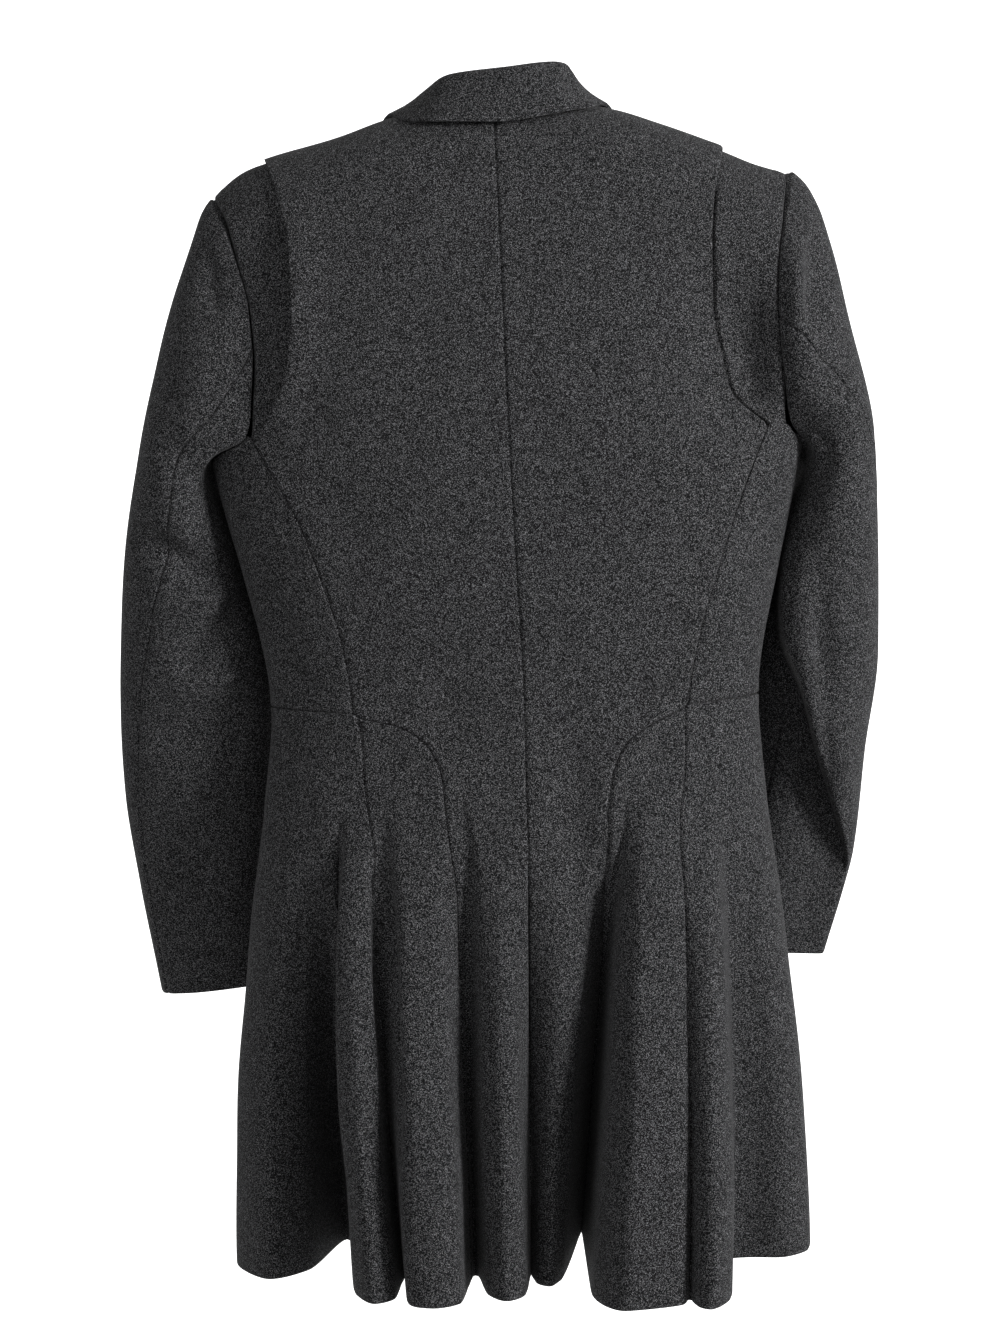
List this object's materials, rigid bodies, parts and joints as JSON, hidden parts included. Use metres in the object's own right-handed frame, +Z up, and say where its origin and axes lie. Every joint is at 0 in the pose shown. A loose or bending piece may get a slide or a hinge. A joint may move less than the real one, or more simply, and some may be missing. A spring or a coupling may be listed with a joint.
{
  "type": "double-breasted coat",
  "caption": "Fitted wool coat cut with princess seams, raw overlaid armholes, notched collar and a deeply fluted skirt, shown filled out and hollow, to wear or hang.",
  "frame": {"origin": "middle of the neck opening at the height of the shoulder points, where the wearer's shoulders hold the coat", "axes": "+Z up, +Y the way the wearer faces, +X to the right of the pictured back"},
  "size_m": [0.5608, 0.2547, 0.857],
  "materials": {
    "wool": "soft charcoal melange wool flannel, brushed and matt",
    "buttons": "dark imitation horn, turned and polished"
  },
  "bodies": {
    "root": {"back_left": "wool", "back_right": "wool", "side_left": "wool", "side_right": "wool", "front_left": "wool", "front_right": "wool", "shoulder_under_left": "wool", "shoulder_under_right": "wool", "skirt_back_left": "wool", "skirt_back_right": "wool", "skirt_side_left": "wool", "skirt_side_right": "wool", "skirt_front_left": "wool", "skirt_front_right": "wool", "under_sleeve_left": "wool", "under_sleeve_right": "wool", "top_sleeve_left": "wool", "top_sleeve_right": "wool", "lapel_left": "wool", "lapel_right": "wool", "collar": "wool", "button_1": "buttons", "button_2": "buttons", "button_3": "buttons", "button_4": "buttons", "button_5": "buttons", "button_6": "buttons"}
  },
  "joints": []
}
